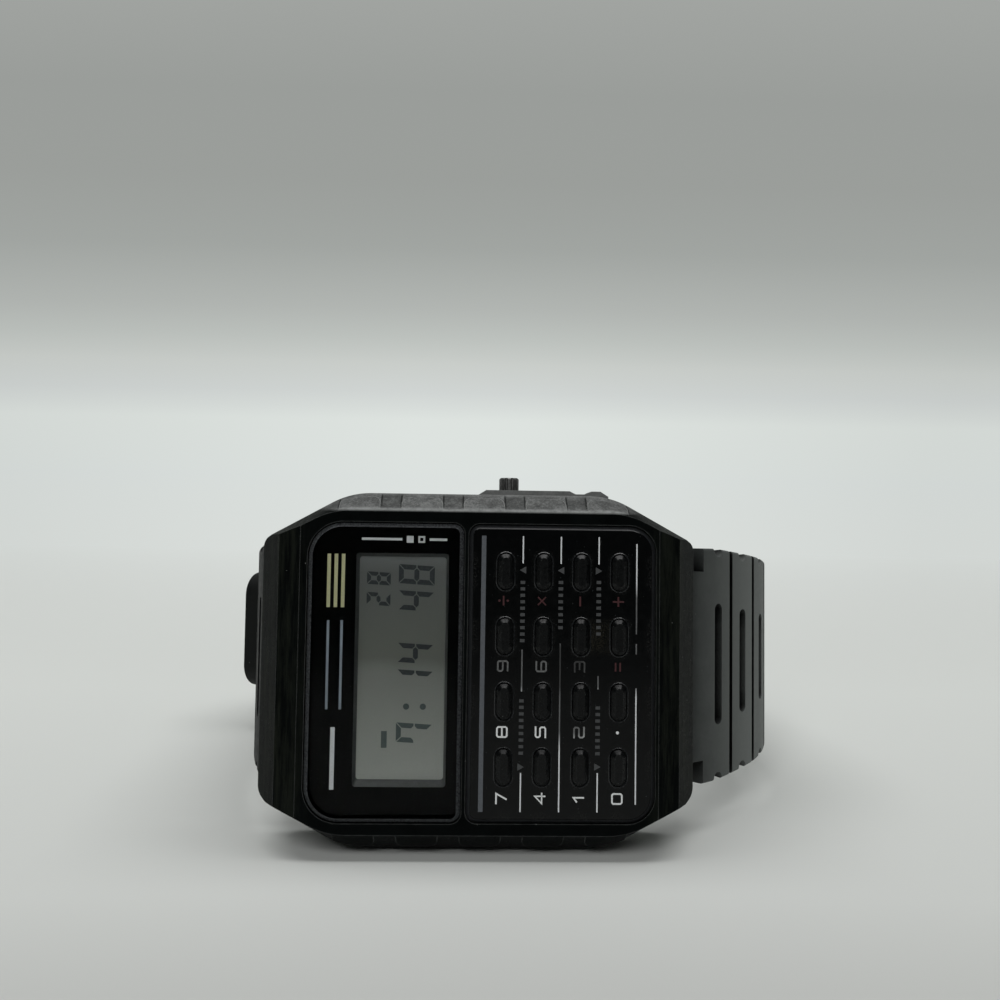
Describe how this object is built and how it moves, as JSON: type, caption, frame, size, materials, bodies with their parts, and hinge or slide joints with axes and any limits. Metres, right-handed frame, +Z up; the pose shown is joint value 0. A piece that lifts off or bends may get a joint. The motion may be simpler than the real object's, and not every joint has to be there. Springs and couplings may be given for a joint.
{
  "type": "calculator watch",
  "caption": "Digital calculator wristwatch with resin case, display window, keypad and buckled resin strap, lying on its side.",
  "frame": {"origin": "centre of the whole watch's outline on the surface that it lies on", "axes": "+X from 12 o'clock to 6 o'clock, the face looks along -Y and leans back a little, +Z up towards the 3 o'clock side"},
  "size_m": [0.0648, 0.0682, 0.0363],
  "materials": {
    "case_resin": "satin moulded resin",
    "strap_resin": "matte flexible resin",
    "lens_clear": "clear glossy",
    "panel_black": "gloss black",
    "key_black": "satin black keys",
    "mat_rubber": "soft rubber",
    "lcd_field": "pale grey-green display",
    "reflector_foil": "matt foil",
    "connector_rubber": "banded rubber",
    "module_plastic": "ivory plastic",
    "board": "green board",
    "chip_epoxy": "black epoxy",
    "bright_steel": "bright can",
    "buzzer_brass": "plain brass",
    "steel": "brushed",
    "button_metal": "dark metal",
    "gasket_rubber": "soft rubber"
  },
  "bodies": {
    "watch": {"case_body": "case_resin", "display_lens": "lens_clear", "display_mask": "panel_black", "keypad_panel": "panel_black", "key_mat": "mat_rubber", "lcd_cell": "lcd_field", "lcd_reflector": "reflector_foil", "lcd_connectors": "connector_rubber", "module_frame": "module_plastic", "circuit_board": "board", "chip": "chip_epoxy", "quartz_crystal": "bright_steel", "battery": "bright_steel", "battery_clamp": "steel", "buzzer_disc": "buzzer_brass", "buzzer_spring": "steel", "case_back": "steel", "case_back_gasket": "gasket_rubber", "case_back_screws": "steel", "strap_long": "strap_resin", "strap_short": "strap_resin", "buckle_frame": "steel", "buckle_pin": "steel", "spring_bar_12": "steel", "spring_bar_6": "steel", "mode_button_spring": "steel", "adjust_button_spring": "steel"},
    "key_0": {"key_0": "key_black"},
    "key_1": {"key_1": "key_black"},
    "key_2": {"key_2": "key_black"},
    "key_3": {"key_3": "key_black"},
    "key_4": {"key_4": "key_black"},
    "key_5": {"key_5": "key_black"},
    "key_6": {"key_6": "key_black"},
    "key_7": {"key_7": "key_black"},
    "key_8": {"key_8": "key_black"},
    "key_9": {"key_9": "key_black"},
    "key_point": {"key_point": "key_black"},
    "key_equals": {"key_equals": "key_black"},
    "key_plus": {"key_plus": "key_black"},
    "key_minus": {"key_minus": "key_black"},
    "key_times": {"key_times": "key_black"},
    "key_divide": {"key_divide": "key_black"},
    "mode_button": {"mode_button": "button_metal", "mode_button_clip": "steel"},
    "adjust_button": {"adjust_button": "button_metal", "adjust_button_clip": "steel"},
    "spring_bar_12_upper_tip": {"spring_bar_12_upper_tip": "steel"},
    "spring_bar_12_lower_tip": {"spring_bar_12_lower_tip": "steel"},
    "spring_bar_6_upper_tip": {"spring_bar_6_upper_tip": "steel"},
    "spring_bar_6_lower_tip": {"spring_bar_6_lower_tip": "steel"},
    "buckle_tongue": {"buckle_tongue": "steel"},
    "strap_keeper": {"strap_keeper": "strap_resin"}
  },
  "joints": [
    {"name": "key_0_press", "type": "slide", "parent": "watch", "child": "key_0", "axis": [0, 0.994, -0.1097], "range_m": [0, 0.0004], "stiffness_N_per_m": 500},
    {"name": "key_1_press", "type": "slide", "parent": "watch", "child": "key_1", "axis": [0, 0.994, -0.1097], "range_m": [0, 0.0004], "stiffness_N_per_m": 500},
    {"name": "key_2_press", "type": "slide", "parent": "watch", "child": "key_2", "axis": [0, 0.994, -0.1097], "range_m": [0, 0.0004], "stiffness_N_per_m": 500},
    {"name": "key_3_press", "type": "slide", "parent": "watch", "child": "key_3", "axis": [0, 0.994, -0.1097], "range_m": [0, 0.0004], "stiffness_N_per_m": 500},
    {"name": "key_4_press", "type": "slide", "parent": "watch", "child": "key_4", "axis": [0, 0.994, -0.1097], "range_m": [0, 0.0004], "stiffness_N_per_m": 500},
    {"name": "key_5_press", "type": "slide", "parent": "watch", "child": "key_5", "axis": [0, 0.994, -0.1097], "range_m": [0, 0.0004], "stiffness_N_per_m": 500},
    {"name": "key_6_press", "type": "slide", "parent": "watch", "child": "key_6", "axis": [0, 0.994, -0.1097], "range_m": [0, 0.0004], "stiffness_N_per_m": 500},
    {"name": "key_7_press", "type": "slide", "parent": "watch", "child": "key_7", "axis": [0, 0.994, -0.1097], "range_m": [0, 0.0004], "stiffness_N_per_m": 500},
    {"name": "key_8_press", "type": "slide", "parent": "watch", "child": "key_8", "axis": [0, 0.994, -0.1097], "range_m": [0, 0.0004], "stiffness_N_per_m": 500},
    {"name": "key_9_press", "type": "slide", "parent": "watch", "child": "key_9", "axis": [0, 0.994, -0.1097], "range_m": [0, 0.0004], "stiffness_N_per_m": 500},
    {"name": "key_point_press", "type": "slide", "parent": "watch", "child": "key_point", "axis": [0, 0.994, -0.1097], "range_m": [0, 0.0004], "stiffness_N_per_m": 500},
    {"name": "key_equals_press", "type": "slide", "parent": "watch", "child": "key_equals", "axis": [0, 0.994, -0.1097], "range_m": [0, 0.0004], "stiffness_N_per_m": 500},
    {"name": "key_plus_press", "type": "slide", "parent": "watch", "child": "key_plus", "axis": [0, 0.994, -0.1097], "range_m": [0, 0.0004], "stiffness_N_per_m": 500},
    {"name": "key_minus_press", "type": "slide", "parent": "watch", "child": "key_minus", "axis": [0, 0.994, -0.1097], "range_m": [0, 0.0004], "stiffness_N_per_m": 500},
    {"name": "key_times_press", "type": "slide", "parent": "watch", "child": "key_times", "axis": [0, 0.994, -0.1097], "range_m": [0, 0.0004], "stiffness_N_per_m": 500},
    {"name": "key_divide_press", "type": "slide", "parent": "watch", "child": "key_divide", "axis": [0, 0.994, -0.1097], "range_m": [0, 0.0004], "stiffness_N_per_m": 500},
    {"name": "mode_button_press", "type": "slide", "parent": "watch", "child": "mode_button", "axis": [0, -0.1097, -0.994], "range_m": [0, 0.0005], "stiffness_N_per_m": 800, "deforming": ["mode_button_spring"]},
    {"name": "adjust_button_press", "type": "slide", "parent": "watch", "child": "adjust_button", "axis": [0, -0.1097, -0.994], "range_m": [0, 0.0005], "stiffness_N_per_m": 800, "deforming": ["adjust_button_spring"]},
    {"name": "spring_bar_12_upper_tip_retract", "type": "slide", "parent": "watch", "child": "spring_bar_12_upper_tip", "axis": [0, -0.1097, -0.994], "range_m": [0, 0.0014], "stiffness_N_per_m": 1000},
    {"name": "spring_bar_12_lower_tip_retract", "type": "slide", "parent": "watch", "child": "spring_bar_12_lower_tip", "axis": [0, 0.1097, 0.994], "range_m": [0, 0.0014], "stiffness_N_per_m": 1000},
    {"name": "spring_bar_6_upper_tip_retract", "type": "slide", "parent": "watch", "child": "spring_bar_6_upper_tip", "axis": [0, -0.1097, -0.994], "range_m": [0, 0.0014], "stiffness_N_per_m": 1000},
    {"name": "spring_bar_6_lower_tip_retract", "type": "slide", "parent": "watch", "child": "spring_bar_6_lower_tip", "axis": [0, 0.1097, 0.994], "range_m": [0, 0.0014], "stiffness_N_per_m": 1000},
    {"name": "tongue_lift", "type": "hinge", "parent": "watch", "child": "buckle_tongue", "pos_m": [0.00106, 0.02659, 0.01138], "axis": [0, 0.1097, 0.994], "range_deg": [0, 12]},
    {"name": "keeper_slide", "type": "slide", "parent": "watch", "child": "strap_keeper", "axis": [-0.8988, -0.4357, 0.0481], "range_m": [-0.0015, 0.0015]}
  ]
}
